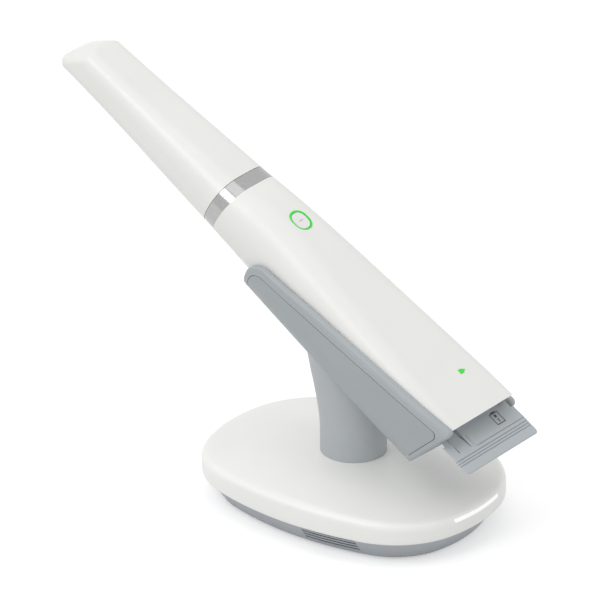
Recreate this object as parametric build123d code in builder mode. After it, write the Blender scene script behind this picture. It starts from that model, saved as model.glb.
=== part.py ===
from build123d import *
import os
from math import cos, radians, sin, tan

# All sizes are in millimetres. The base stands on the table at Z = 0, centred on the column.
# +X is the end with the light strip, where the battery leaves the handpiece; the tip points to -X.

# Base
BASE_LENGTH = 140.0
BASE_WIDTH = 104.0
BASE_BULGE = 12.0          # how far each side of the outline bows out
BASE_BOTTOM = 10.0         # lower edge of the white shell
BASE_TOP = 27.5            # crown of the shell
DOME_RADIUS = 400.0
SHELL_WALL = 2.6
SHELL_TOP_ROUND = 5.0
SHELL_LIP_ROUND = 1.2
UNDER_INSET = 2.0          # the grey underbody steps in below the shell
UNDER_TAPER = 7.0          # further inset at its floor
UNDER_WALL = 2.2
SPIGOT_HEIGHT = 2.0
FOOT_HEIGHT = 1.2
FOOT_RADIUS = 4.5
FOOT_SINK = 0.6            # depth of the foot's recess
FRONT_FOOT = (39.0, 29.0)
REAR_FOOT = (41.0, 22.0)
VENT_COUNT = 4
VENT_LENGTH = 27.0
VENT_HEIGHT = 0.8
VENT_PITCH = 1.7
VENT_X = 21.0
VENT_Z = 3.9               # lowest vent above the table
PLATE_THICKNESS = 4.0
PLATE_INSET = 16.0
POST_HEIGHT = 4.6
POST_RADIUS = 2.2
BOARD_THICKNESS = 1.6
BASE_BOARD_LENGTH = 66.0
BASE_BOARD_WIDTH = 36.0
BOARD_TO_WALL = 6.0        # the base board stops short of the rear wall
INLET_WIDTH = 9.0
INLET_HEIGHT = 3.3
INLET_DEPTH = 8.0
INLET_WALL = 0.5
LIGHT_LENGTH = 32.0
LIGHT_HEIGHT = 1.7
LIGHT_Z = 18.6
LIGHT_DEPTH = 7.5          # from the front of the outline to the bar's flat back
LIGHT_BOARD_HEIGHT = 2.2
SCREW_RADIUS = 1.5
SCREW_HEAD_RADIUS = 2.8
SCREW_HEAD_HEIGHT = 1.6
SCREW_LENGTH = 8.0
FIT = 0.1                  # sideways play of a fixed piece in its seat

# Column
COLUMN_RADIUS = 14.9
COLUMN_FLARE_START = 40.0  # height where the column begins to widen
COLUMN_FLARE_RADIUS = 120.0
COLUMN_WALL = 3.0
COLUMN_TOP_WALL = 5.0
COLUMN_SEAT = 1.0          # depth of the recess that it stands in
COLUMN_FLOOR = 8.0
COLUMN_SCREW_CIRCLE = 8.0
SEAT_PAD_RADIUS = 20.0
SEAT_PAD_BELOW = 6.5       # underside of the pad below the crown

# Handpiece: its axis runs from the battery end up to the tip in the plane Y = 0
TILT = 32.2
AXIS_HEIGHT = 92.9         # height of the axis over the column
TAIL_REACH = 92.7          # from there back to the battery's end
SLEEVE_START = 18.4        # distances along the axis are counted from the battery's end
BUTTON_AT = 138.0
SLEEVE_END = 164.5
TAIL_WIDTH = 50.0
GRIP_WIDTH = 40.4
COLLAR_WIDTH = 37.4
BODY_HEIGHT = 33.2
COLLAR_HEIGHT = 28.2
COLLAR_DROP = 1.3          # the collar sits this far below the axis
TAIL_CORNER = 6.0
TAIL_RISE = 5.2            # the underside rises by this towards the tail
GRIP_CORNER = 15.5
COLLAR_CORNER = 13.0
SLEEVE_WALL = 2.0
TAIL_SLANT = 19.3          # the ends of sleeve and cradle lean in below, degrees
RUN_OUT = 12.0             # straight run-out of the skin past the sleeve's ends

# Tip
TIP_AT = 171.0             # rear plane of the tip
TIP_DROP = 1.7
TIP_DROOP = 2.8            # the tip bends down from the body, degrees
TIP_LENGTH = 97.3          # to the slanted end, on the tip's axis
TIP_END_SLANT = 34.0
TIP_WALL = 1.6
TIP_SEAM = 0.25            # gap to the collar
TIP_REAR_SIZE = (36.8, 27.0, 12.6)
TIP_MIDDLE_AT = 42.0
TIP_MIDDLE_SIZE = (30.4, 22.2, 8.6)
TIP_NOSE_SIZE = (26.0, 18.6, 7.0)
TIP_END_ROUND = 3.2
WINDOW_LENGTH = 20.0
WINDOW_WIDTH = 17.0
WINDOW_SETBACK = 12.0      # from the tip's end to the window
MIRROR_WIDTH = 16.0
MIRROR_LENGTH = 14.0
MIRROR_THICKNESS = 1.2

# Optics
SNOUT_LENGTH = 46.0
SNOUT_REAR = (25.0, 17.4, 6.5)
SNOUT_FRONT = (21.6, 15.0, 5.5)
SNOUT_WALL = 1.5
SNOUT_GLASS = 1.5
FLANGE_THICKNESS = 3.0
FRAME_FLOOR_TOP = -8.5
FRAME_FLOOR = 2.0
FRAME_HALF_WIDTH = 12.0
LENS_RADIUS = 6.8
LENS_LENGTH = 20.0
CAMERA_SIZE = (17.0, 15.0, 13.0)
PROJECTOR_SIZE = (18.0, 14.0, 22.0)
HEAT_SINK_SIZE = (20.0, 12.0, 18.0)
HEAT_SINK_FIN = 1.2
HEAT_SINK_FINS = 5
HEAT_SINK_BASE = 3.0
MODULE_GAP = 1.2
MAIN_BOARD_HEIGHT = 8.3    # underside of the main board above the axis
MAIN_BOARD_WIDTH = 23.0
MAIN_BOARD_START = 76.0
MAIN_BOARD_END = 148.0
BOARD_POST = 2.0

# Button and lights on the sleeve
BUTTON_SIZE = (8.0, 9.0)   # across, along
BUTTON_CORNER = 3.6
BUTTON_TRAVEL = 0.6
BUTTON_GAP = 0.3
BUTTON_FLANGE = 0.9
BUTTON_FLANGE_THICKNESS = 0.7
LIGHT_RING = 0.8           # width of the glowing line round the button
RING_DEPTH = 2.6
SWITCH_HEIGHT = 2.0
SWITCH_SIZE = 5.0
PIP_AT = 39.8
PIP_ASIDE = 8.3
PIP_LENGTH = 4.4
PIP_WIDTH = 2.6

# Battery
BATTERY_WIDTH = 37.4
BATTERY_HEIGHT = 19.2
BATTERY_CORNER = 4.0
BATTERY_END = 68.0
BAY_GAP = 0.4
BAY_WALL = 1.4
BAY_END_WALL = 3.0
BAY_FLANGE = 3.0
TONGUE_WIDTH = 52.4
TONGUE_THICKNESS = 2.6
TONGUE_TOP = 8.4           # its top above the axis
TONGUE_CORNER = 2.0
TONGUE_GAP = 0.2
TONGUE_ROOT = 15.4         # the tongue's full width ends here
PANEL_END = 8.6
PANEL_RISE = 5.0
PANEL_LEFT = 11.5
PANEL_RIGHT = 21.5
PANEL_LEAN = 52.0          # slope of the panel's left flank, degrees
RIB_COUNT = 4
RIB_PITCH = 1.7
RIB_FIRST = 1.6
RIB_RADIUS = 0.55
FINGER_SLITS = (13.2, 21.2)
SLIT_WIDTH = 0.7
SLIT_START = 8.0
POCKET_START = 12.4        # recess between the slits
POCKET_DEPTH = 1.5
CONTACT_COUNT = 3
CONTACT_PITCH = 5.0
CONTACT_RADIUS = 1.2
CONTACT_GAP = 0.2

# Cradle
TRAY_START = 15.6
TRAY_END = 138.5
RIM_TAIL = 12.8            # height of the rim above the axis at its two ends
RIM_FRONT = -0.3
RIM_LEAN = 6.2             # the rim is lower on the lifting side, degrees
RIM_FRONT_ROUND = 10.0
RIM_TAIL_ROUND = 2.5
RIM_ROUND = 1.3            # rounding along the rim's edges
TRAY_PLAY = 0.3
TRAY_WALL = 1.8
COVER_WALL = 1.6
SEAM = 0.25
SEAM_DROP = 5.0            # the cover's edge below the rim
CUFF_TAIL = 2.8
CUFF_FRONT = 3.0
CRADLE_SCREWS = (78.0, 96.0)
CRADLE_SCREW_LENGTH = 9.0
SPOT_FACE = 0.3
KEEL = 2.4                 # extra depth under the cradle's front

# Frames of the handpiece and of the tip
run = cos(radians(TILT))
rise = sin(radians(TILT))
hand = Plane(
    origin=(TAIL_REACH * run, 0, AXIS_HEIGHT - TAIL_REACH * rise),
    x_dir=(0, -1, 0),
    z_dir=(-run, 0, rise),
)


def across(s, height=0.0, pitch=0.0):
    """Plane square to the handpiece's axis at the distance s from the battery's end."""
    return Plane(hand.location * Location((0, height, s), (pitch, 0, 0)))


def facing_up(s, height, aside=0.0):
    """Plane parallel to the axis that faces the button side; its Y runs to the battery."""
    return Plane(hand.location * Location((aside, height, s), (-90, 0, 0)))


side_plane = Plane(hand.location * Location((0, 0, 0), (0, -90, 0)))
tip_base = across(TIP_AT, -TIP_DROP, TIP_DROOP)


def along_tip(z, pitch=0.0):
    """Plane square to the tip's axis, or turned by pitch, at the distance z from its rear."""
    return Plane(tip_base.location * Location((0, 0, z), (pitch, 0, 0)))


def skin(sections, grow=0.0):
    """Smooth solid through rounded sections, each widened by grow on every side."""
    with BuildPart() as form:
        for plane, width, height, corner in sections:
            with BuildSketch(plane):
                RectangleRounded(width + 2 * grow, height + 2 * grow, corner + grow)
        loft()
    return form.part


def body_section(s):
    """Section of the sleeve between the tail and the button."""
    share = max(0.0, (s - SLEEVE_START) / (BUTTON_AT - SLEEVE_START))
    width = TAIL_WIDTH - (TAIL_WIDTH - GRIP_WIDTH) * share**1.5
    corner = TAIL_CORNER + (GRIP_CORNER - TAIL_CORNER) * share
    lift = TAIL_RISE * (1 - share)
    return across(s, lift / 2), width, BODY_HEIGHT - lift, corner


def keeled(section, deep):
    """The same section with its underside lowered by deep."""
    plane, width, height, corner = section
    return Plane(plane.location * Location((0, -deep / 2, 0))), width, height + deep, corner


third = (BUTTON_AT - SLEEVE_START) / 3
body_sections = [
    body_section(SLEEVE_START - RUN_OUT),
    body_section(SLEEVE_START),
    body_section(SLEEVE_START + third),
    body_section(SLEEVE_START + 2 * third),
    body_section(BUTTON_AT),
    (across(SLEEVE_END, -COLLAR_DROP), COLLAR_WIDTH, COLLAR_HEIGHT, COLLAR_CORNER),
]
keel_shares = (0, 0, 1 / 3, 2 / 3, 1, 1)
cradle_sections = [keeled(section, KEEL * share) for section, share in zip(body_sections, keel_shares)]
sleeve_half = BODY_HEIGHT / 2
mouth = across(SLEEVE_START, sleeve_half, -TAIL_SLANT)

# Outline of the base: four bowed sides, with corners as round as the narrow ends allow
half_length = BASE_LENGTH / 2
half_width = BASE_WIDTH / 2
corner_x = half_length - BASE_BULGE
corner_y = half_width - BASE_BULGE
with BuildSketch() as base_outline:
    with BuildLine():
        ThreePointArc((-corner_x, -corner_y), (0, -half_width), (corner_x, -corner_y))
        ThreePointArc((corner_x, -corner_y), (half_length, 0), (corner_x, corner_y))
        ThreePointArc((corner_x, corner_y), (0, half_width), (-corner_x, corner_y))
        ThreePointArc((-corner_x, corner_y), (-half_length, 0), (-corner_x, -corner_y))
    make_face()
    fillet(base_outline.vertices(), corner_y)


def base_face(height, inset):
    """The base's outline at a height, moved in by inset."""
    with BuildSketch(Plane.XY.offset(height)) as face:
        add(base_outline.sketch)
        if inset:
            offset(amount=-inset, mode=Mode.REPLACE)
    return face.sketch


def base_block(inset, bottom, top):
    """Straight block of the base's outline between two heights."""
    with BuildPart() as block:
        add(base_face(bottom, inset))
        extrude(amount=top - bottom)
    return block.part


def dome(drop):
    """Ball whose top is the crown of the base, lowered by drop."""
    with BuildPart() as ball:
        with Locations((0, 0, BASE_TOP - DOME_RADIUS)):
            Sphere(DOME_RADIUS - drop, rotation=(90, 0, 0))
    return ball.part


# Base shell
shell_block = base_block(0, BASE_BOTTOM, BASE_TOP)
shell_hollow = base_block(SHELL_WALL, BASE_BOTTOM, BASE_TOP)
outer_dome = dome(0)
inner_dome = dome(SHELL_WALL)
seat_z = BASE_TOP - COLUMN_SEAT
pad_z = BASE_TOP - SEAT_PAD_BELOW
with BuildPart() as hollow:
    add(shell_hollow)
    add(inner_dome, mode=Mode.INTERSECT)
    with Locations((0, 0, pad_z)):
        Cylinder(SEAT_PAD_RADIUS, BASE_TOP, align=(Align.CENTER, Align.CENTER, Align.MIN), mode=Mode.SUBTRACT)
with BuildPart() as light_slot:
    with BuildSketch(Plane.YZ.offset(half_length - LIGHT_DEPTH)) as slot_face:
        with Locations((0, LIGHT_Z)):
            SlotOverall(LIGHT_LENGTH, LIGHT_HEIGHT)
    extrude(amount=2 * LIGHT_DEPTH)
inlet_x = half_length - SHELL_WALL - BOARD_TO_WALL
base_floor = FOOT_HEIGHT + UNDER_WALL
board_z = base_floor + PLATE_THICKNESS + POST_HEIGHT
inlet_z = board_z + BOARD_THICKNESS + INLET_HEIGHT / 2
with BuildPart() as base_shell:
    add(shell_block)
    add(outer_dome, mode=Mode.INTERSECT)
    wall_edges = base_shell.edges().filter_by(lambda edge: edge.bounding_box().size.Z < BASE_TOP / 4)
    crown_edges = wall_edges.filter_by(lambda edge: edge.center().Z > BASE_BOTTOM + 1)
    fillet(crown_edges, SHELL_TOP_ROUND)
    lip_edges = base_shell.faces().sort_by(Axis.Z)[0].edges()
    fillet(lip_edges, SHELL_LIP_ROUND)
    add(hollow.part, mode=Mode.SUBTRACT)
    add(light_slot.part, mode=Mode.SUBTRACT)
    with Locations((0, 0, seat_z)):
        Cylinder(COLUMN_RADIUS + FIT, BASE_TOP, align=(Align.CENTER, Align.CENTER, Align.MIN),
                 mode=Mode.SUBTRACT)
    with Locations((0, 0, pad_z)):
        with PolarLocations(COLUMN_SCREW_CIRCLE, 3):
            Cylinder(SCREW_RADIUS + FIT, BASE_TOP, align=(Align.CENTER, Align.CENTER, Align.MIN),
                     mode=Mode.SUBTRACT)
    with BuildSketch(Plane.YZ.offset(-half_length)):
        with Locations((0, inlet_z)):
            SlotOverall(INLET_WIDTH + 2 * FIT, INLET_HEIGHT + 2 * FIT)
    extrude(amount=SHELL_WALL + BOARD_TO_WALL, both=True, mode=Mode.SUBTRACT)
base_shell.part.label = "base_shell"

# Light bar: a diffuser flush with the shell's front
with BuildPart() as light_bar:
    add(light_slot.part)
    add(base_block(0, BASE_BOTTOM, BASE_TOP), mode=Mode.INTERSECT)
light_bar.part.label = "light_bar"

light_back = half_length - LIGHT_DEPTH
with BuildPart() as light_board:
    with BuildSketch(Plane.YZ.offset(light_back - BOARD_THICKNESS)):
        with Locations((0, LIGHT_Z)):
            RectangleRounded(LIGHT_LENGTH, LIGHT_BOARD_HEIGHT, 1)
    extrude(amount=BOARD_THICKNESS)
light_board.part.label = "light_board"

# Underbody: a tapered tray that plugs into the shell from below
under_top = base_face(BASE_BOTTOM, UNDER_INSET)
under_foot = base_face(FOOT_HEIGHT, UNDER_INSET + UNDER_TAPER)
under_top_inner = base_face(BASE_BOTTOM, UNDER_INSET + UNDER_WALL)
under_foot_inner = base_face(base_floor, UNDER_INSET + UNDER_TAPER + UNDER_WALL)
spigot_inset = SHELL_WALL + FIT
feet = [
    (FRONT_FOOT[0], FRONT_FOOT[1]),
    (FRONT_FOOT[0], -FRONT_FOOT[1]),
    (-REAR_FOOT[0], REAR_FOOT[1]),
    (-REAR_FOOT[0], -REAR_FOOT[1]),
]
with BuildPart() as under_hollow:
    loft(sections=[under_foot_inner.face(), under_top_inner.face()])
with BuildPart() as underbody:
    loft(sections=[under_foot.face(), under_top.face()])
    add(base_block(spigot_inset, BASE_BOTTOM, BASE_BOTTOM + SPIGOT_HEIGHT))
    add(under_hollow.part, mode=Mode.SUBTRACT)
    add(base_block(spigot_inset + UNDER_WALL, BASE_BOTTOM, BASE_BOTTOM + SPIGOT_HEIGHT), mode=Mode.SUBTRACT)
    with Locations((0, 0, FOOT_HEIGHT)):
        with Locations(*feet):
            Cylinder(FOOT_RADIUS + FIT, 2 * FOOT_SINK, mode=Mode.SUBTRACT)
    for vent in range(VENT_COUNT):
        with Locations((VENT_X, 0, VENT_Z + vent * VENT_PITCH)):
            Box(VENT_LENGTH, 2 * BASE_WIDTH, VENT_HEIGHT, mode=Mode.SUBTRACT)
underbody.part.label = "underbody"

# Rubber feet
with BuildPart() as rubber_feet:
    with Locations(*feet):
        Cylinder(FOOT_RADIUS, FOOT_HEIGHT + FOOT_SINK, align=(Align.CENTER, Align.CENTER, Align.MIN))
    fillet(rubber_feet.edges().group_by(Axis.Z)[0], FOOT_HEIGHT / 3)
rubber_feet.part.label = "rubber_feet"

# Ballast plate with the posts of the base board
board_x = -inlet_x + BASE_BOARD_LENGTH / 2
post_dx = BASE_BOARD_LENGTH - 8 * POST_RADIUS
post_dy = BASE_BOARD_WIDTH - 4 * POST_RADIUS
with BuildPart() as ballast_plate:
    add(base_face(base_floor, PLATE_INSET))
    extrude(amount=PLATE_THICKNESS)
    with Locations((board_x + POST_RADIUS, 0, base_floor + PLATE_THICKNESS)):
        with GridLocations(post_dx, post_dy, 2, 2):
            Cylinder(POST_RADIUS, POST_HEIGHT, align=(Align.CENTER, Align.CENTER, Align.MIN))
ballast_plate.part.label = "ballast_plate"

# Base board, and the power inlet on its rear edge
with BuildPart() as base_board:
    with BuildSketch(Plane.XY.offset(board_z)):
        with Locations((board_x, 0)):
            RectangleRounded(BASE_BOARD_LENGTH, BASE_BOARD_WIDTH, POST_RADIUS)
    extrude(amount=BOARD_THICKNESS)
base_board.part.label = "base_board"

inlet_front = half_length - SHELL_WALL / 2
with BuildPart() as power_inlet:
    with BuildSketch(Plane.YZ.offset(-inlet_front)) as inlet_face:
        with Locations((0, inlet_z)):
            SlotOverall(INLET_WIDTH, INLET_HEIGHT)
    extrude(amount=inlet_front - inlet_x + INLET_DEPTH)
    with BuildSketch(Plane.YZ.offset(-inlet_front)):
        with Locations((0, inlet_z)):
            SlotOverall(INLET_WIDTH - 2 * INLET_WALL, INLET_HEIGHT - 2 * INLET_WALL)
    extrude(amount=INLET_DEPTH, mode=Mode.SUBTRACT)
    with BuildSketch(Plane.YZ.offset(-inlet_front + INLET_WALL)):
        with Locations((0, inlet_z)):
            Rectangle(INLET_WIDTH - 4 * INLET_WALL, INLET_WALL)
    extrude(amount=INLET_DEPTH)
power_inlet.part.label = "power_inlet"

# Screws that hold the column to the shell
with BuildPart() as column_screws:
    with Locations((0, 0, pad_z - SCREW_HEAD_HEIGHT)):
        with PolarLocations(COLUMN_SCREW_CIRCLE, 3):
            Cylinder(SCREW_HEAD_RADIUS, SCREW_HEAD_HEIGHT, align=(Align.CENTER, Align.CENTER, Align.MIN))
    with Locations((0, 0, pad_z)):
        with PolarLocations(COLUMN_SCREW_CIRCLE, 3):
            Cylinder(SCREW_RADIUS, SCREW_LENGTH, align=(Align.CENTER, Align.CENTER, Align.MIN))
column_screws.part.label = "column_screws"

# Cradle: the skins that its walls lie between, and its side profiles
tray_inner = skin(body_sections, TRAY_PLAY)
tray_outer = skin(body_sections, TRAY_PLAY + TRAY_WALL)
cover_outer = skin(cradle_sections, TRAY_PLAY + TRAY_WALL + COVER_WALL)
below = -2 * BODY_HEIGHT
rim_plane = Plane(hand.location * Location((0, 0, 0), (0, 0, RIM_LEAN)) * Location((0, 0, 0), (0, -90, 0)))


def cradle_profile(drop, tail_inset, front_inset):
    """Side outline of the cradle, moved in from the rim and from both ends."""
    start = TRAY_START + tail_inset
    end = TRAY_END - front_inset
    slope = (RIM_FRONT - RIM_TAIL) / (TRAY_END - TRAY_START)
    rim_start = RIM_TAIL + slope * tail_inset - drop
    rim_end = RIM_FRONT - slope * front_inset - drop
    top = start + tan(radians(TAIL_SLANT)) * (RIM_TAIL - rim_start)
    foot = start + tan(radians(TAIL_SLANT)) * (RIM_TAIL - below)
    with BuildPart() as block:
        with BuildSketch(rim_plane) as outline:
            with BuildLine():
                Polyline((foot, below), (end, below), (end, rim_end), (top, rim_start), close=True)
            make_face()
            corners = outline.vertices().sort_by(lambda corner: rim_plane.to_local_coords(corner).Y)
            fillet(corners[2], RIM_FRONT_ROUND - front_inset)
            fillet(outline.vertices().sort_by(lambda corner: rim_plane.to_local_coords(corner).Y)[-1],
                   RIM_TAIL_ROUND)
        extrude(amount=TAIL_WIDTH, both=True)
    return block.part


tray_profile = cradle_profile(0, 0, 0)
recess_profile = cradle_profile(SEAM_DROP, CUFF_TAIL, CUFF_FRONT)
cover_profile = cradle_profile(SEAM_DROP + SEAM, CUFF_TAIL + SEAM, CUFF_FRONT + SEAM)
with BuildPart() as cover_recess:
    add(cover_outer)
    add(tray_outer, mode=Mode.SUBTRACT)
    add(recess_profile, mode=Mode.INTERSECT)


def screw_seat(s):
    """Height of a cradle screw's head, just under the tray's floor."""
    lift = TAIL_RISE * (BUTTON_AT - s) / (BUTTON_AT - SLEEVE_START)
    return lift - sleeve_half - TRAY_PLAY - SPOT_FACE


with BuildPart() as cradle_tray:
    add(cover_outer)
    add(tray_inner, mode=Mode.SUBTRACT)
    add(tray_profile, mode=Mode.INTERSECT)
    add(cover_recess.part, mode=Mode.SUBTRACT)
    flat_faces = cradle_tray.faces().filter_by(GeomType.PLANE)
    rim_edges = flat_faces.filter_by(lambda face: face.normal_at().dot(rim_plane.y_dir) > 0).edges()
    fillet(rim_edges.filter_by(lambda edge: edge.length > (TRAY_END - TRAY_START) / 2), RIM_ROUND)
    for s in CRADLE_SCREWS:
        with Locations(facing_up(s, screw_seat(s))):
            CounterSinkHole(SCREW_RADIUS + FIT, SCREW_HEAD_RADIUS + FIT, counter_sink_angle=90)
            Cylinder(SCREW_HEAD_RADIUS + FIT, 3 * SPOT_FACE, align=(Align.CENTER, Align.CENTER, Align.MIN),
                     mode=Mode.SUBTRACT)
cradle_tray.part.label = "cradle_tray"

with BuildPart() as cradle_cover:
    add(cover_outer)
    add(tray_outer, mode=Mode.SUBTRACT)
    add(cover_profile, mode=Mode.INTERSECT)
    for s in CRADLE_SCREWS:
        with Locations(facing_up(s, screw_seat(s))):
            Hole(SCREW_RADIUS + FIT)
cradle_cover.part.label = "cradle_cover"

# Column: turned, flared towards the cradle, and cut to the cover's underside
column_top = AXIS_HEIGHT


def flared_column(inset, bottom):
    """The column's turned form, thinner by inset."""
    radius = COLUMN_RADIUS - inset
    flare_top = column_top - COLUMN_FLARE_START
    lean = COLUMN_FLARE_RADIUS - (COLUMN_FLARE_RADIUS**2 - flare_top**2) ** 0.5
    with BuildPart() as form:
        with BuildSketch(Plane.XZ):
            with BuildLine():
                Polyline((radius, COLUMN_FLARE_START), (radius, bottom), (0, bottom), (0, column_top),
                         (radius + lean, column_top))
                RadiusArc((radius + lean, column_top), (radius, COLUMN_FLARE_START), -COLUMN_FLARE_RADIUS)
            make_face()
        revolve(axis=Axis.Z)
    return form.part


column_form = flared_column(0, seat_z)
column_hollow = flared_column(COLUMN_WALL, seat_z + COLUMN_FLOOR)
hollow_limit = skin(cradle_sections, TRAY_PLAY + TRAY_WALL + COVER_WALL + COLUMN_TOP_WALL)
with BuildPart() as column_void:
    add(column_hollow)
    add(hollow_limit, mode=Mode.SUBTRACT)
void_solid = column_void.part.solids().sort_by(Axis.Z)[0]
with BuildPart() as column_raw:
    add(column_form)
    add(cover_outer, mode=Mode.SUBTRACT)
with BuildPart() as column:
    add(column_raw.part.solids().sort_by(Axis.Z)[0])
    add(void_solid, mode=Mode.SUBTRACT)
    with Locations((0, 0, seat_z)):
        with PolarLocations(COLUMN_SCREW_CIRCLE, 3):
            Cylinder(SCREW_RADIUS, SCREW_LENGTH, mode=Mode.SUBTRACT)
    for s in CRADLE_SCREWS:
        with Locations(facing_up(s, screw_seat(s) - CRADLE_SCREW_LENGTH)):
            Cylinder(SCREW_RADIUS, 2 * CRADLE_SCREW_LENGTH, align=(Align.CENTER, Align.CENTER, Align.MIN),
                     mode=Mode.SUBTRACT)
column.part.label = "column"

with BuildPart() as cradle_screws:
    for s in CRADLE_SCREWS:
        with BuildSketch(Plane(facing_up(s, screw_seat(s)).location * Location((0, 0, 0), (90, 0, 0)))):
            with BuildLine():
                Polyline((0, 0), (SCREW_HEAD_RADIUS, 0), (SCREW_RADIUS, SCREW_RADIUS - SCREW_HEAD_RADIUS),
                         (SCREW_RADIUS, -CRADLE_SCREW_LENGTH), (0, -CRADLE_SCREW_LENGTH), close=True)
            make_face()
        revolve(axis=Axis(facing_up(s, screw_seat(s)).origin, facing_up(s, screw_seat(s)).z_dir))
cradle_screws.part.label = "cradle_screws"

# Handpiece sleeve
sleeve_outer = skin(body_sections)
sleeve_inner = skin(body_sections, -SLEEVE_WALL)
ring_across = BUTTON_SIZE[0] + 2 * BUTTON_GAP + 2 * LIGHT_RING
ring_along = BUTTON_SIZE[1] + 2 * BUTTON_GAP + 2 * LIGHT_RING
ring_corner = BUTTON_CORNER + BUTTON_GAP + LIGHT_RING
button_plane = facing_up(BUTTON_AT, sleeve_half)
pip_plane = facing_up(PIP_AT, sleeve_half, -PIP_ASIDE)
with BuildSketch(pip_plane) as pip_face:
    with BuildLine():
        Polyline((PIP_LENGTH / 2, -PIP_WIDTH / 2), (PIP_LENGTH / 2, PIP_WIDTH / 2), (0, PIP_WIDTH / 2),
                 (-PIP_LENGTH / 2, 0), (0, -PIP_WIDTH / 2), close=True)
    make_face()
with BuildPart() as body_sleeve:
    add(sleeve_outer)
    add(sleeve_inner, mode=Mode.SUBTRACT)
    split(bisect_by=mouth, keep=Keep.TOP)
    with BuildSketch(button_plane):
        RectangleRounded(ring_across, ring_along, ring_corner)
    extrude(amount=2 * SLEEVE_WALL, both=True, mode=Mode.SUBTRACT)
    add(pip_face.sketch)
    extrude(amount=2 * SLEEVE_WALL, both=True, mode=Mode.SUBTRACT)
body_sleeve.part.label = "body_sleeve"

with BuildPart() as battery_light:
    add(pip_face.sketch)
    extrude(amount=-SLEEVE_WALL)
battery_light.part.label = "battery_light"

# Button, its glowing ring and its switch
ring_under = sleeve_half - RING_DEPTH
with BuildPart() as button_ring:
    with BuildSketch(button_plane):
        RectangleRounded(ring_across, ring_along, ring_corner)
        RectangleRounded(BUTTON_SIZE[0] + 2 * BUTTON_GAP, BUTTON_SIZE[1] + 2 * BUTTON_GAP,
                         BUTTON_CORNER + BUTTON_GAP, mode=Mode.SUBTRACT)
    extrude(amount=-RING_DEPTH)
button_ring.part.label = "button_ring"

switch_top = MAIN_BOARD_HEIGHT + BOARD_THICKNESS + SWITCH_HEIGHT
stem_end = switch_top + BUTTON_TRAVEL + FIT
flange_top = ring_under - BUTTON_GAP
with BuildPart() as power_button:
    with BuildSketch(button_plane):
        RectangleRounded(*BUTTON_SIZE, BUTTON_CORNER)
    extrude(amount=-(sleeve_half - flange_top))
    with BuildSketch(facing_up(BUTTON_AT, flange_top)):
        RectangleRounded(BUTTON_SIZE[0] + 2 * BUTTON_FLANGE, BUTTON_SIZE[1] + 2 * BUTTON_FLANGE,
                         BUTTON_CORNER + BUTTON_FLANGE)
    extrude(amount=-BUTTON_FLANGE_THICKNESS)
    with BuildSketch(facing_up(BUTTON_AT, stem_end)):
        RectangleRounded(SWITCH_SIZE / 2, SWITCH_SIZE / 2, SWITCH_SIZE / 10)
    extrude(amount=flange_top - stem_end)
    fillet(power_button.faces().sort_by(Axis(hand.origin, hand.y_dir))[-1].edges(), BUTTON_GAP)
power_button.part.label = "power_button"

with BuildPart() as button_switch:
    with BuildSketch(facing_up(BUTTON_AT, MAIN_BOARD_HEIGHT + BOARD_THICKNESS)):
        RectangleRounded(SWITCH_SIZE, SWITCH_SIZE, SWITCH_SIZE / 10)
    extrude(amount=SWITCH_HEIGHT)
button_switch.part.label = "button_switch"

# Collar: a bright wedge between the sleeve and the tip, bored for the snout
flange_front = SLEEVE_END - FIT
snout_sections = [
    (across(flange_front, -TIP_DROP), *SNOUT_REAR),
    (along_tip(TIP_SEAM), *SNOUT_REAR),
    (along_tip(SNOUT_LENGTH), *SNOUT_FRONT),
]
collar_rear = (across(SLEEVE_END, -COLLAR_DROP), COLLAR_WIDTH, COLLAR_HEIGHT, COLLAR_CORNER)
collar_front = (along_tip(0), *TIP_REAR_SIZE)
with BuildPart() as collar:
    add(skin([collar_rear, collar_front]))
    add(skin(snout_sections, FIT), mode=Mode.SUBTRACT)
collar.part.label = "collar"

# Tip: a hollow hood with a slanted end and a window underneath
tip_sections = [
    (along_tip(TIP_SEAM), *TIP_REAR_SIZE),
    (along_tip(TIP_MIDDLE_AT), *TIP_MIDDLE_SIZE),
    (along_tip(TIP_LENGTH), *TIP_NOSE_SIZE),
    (along_tip(TIP_LENGTH + RUN_OUT), *TIP_NOSE_SIZE),
]
tip_end = along_tip(TIP_LENGTH, -TIP_END_SLANT)
tip_outer = skin(tip_sections)
tip_inner = skin(tip_sections, -TIP_WALL)
with BuildPart() as tip_hollow:
    add(tip_inner)
    split(bisect_by=tip_end.offset(-TIP_WALL), keep=Keep.BOTTOM)
window_centre = TIP_LENGTH - WINDOW_SETBACK
window_drop = TIP_NOSE_SIZE[1] / 2
with BuildPart() as scan_tip:
    add(tip_outer)
    split(bisect_by=tip_end, keep=Keep.BOTTOM)
    end_face = scan_tip.faces().sort_by(Axis(tip_base.origin, tip_base.z_dir))[-1]
    fillet(end_face.edges(), TIP_END_ROUND)
    add(tip_hollow.part, mode=Mode.SUBTRACT)
    with BuildSketch(Plane(along_tip(window_centre).location * Location((0, -window_drop, 0), (-90, 0, 0)))):
        RectangleRounded(WINDOW_WIDTH, WINDOW_LENGTH, 2 * TIP_WALL)
    extrude(amount=window_drop / 2, both=True, mode=Mode.SUBTRACT)
scan_tip.part.label = "scan_tip"

with BuildPart() as tip_mirror:
    with BuildSketch(tip_end.offset(-TIP_WALL - MIRROR_THICKNESS)):
        RectangleRounded(MIRROR_WIDTH, MIRROR_LENGTH, TIP_WALL)
    extrude(amount=MIRROR_THICKNESS)
tip_mirror.part.label = "tip_mirror"

# Snout inside the tip, with its front glass
with BuildPart() as snout:
    add(skin(snout_sections))
    add(skin(snout_sections, -SNOUT_WALL), mode=Mode.SUBTRACT)
snout.part.label = "snout"

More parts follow.
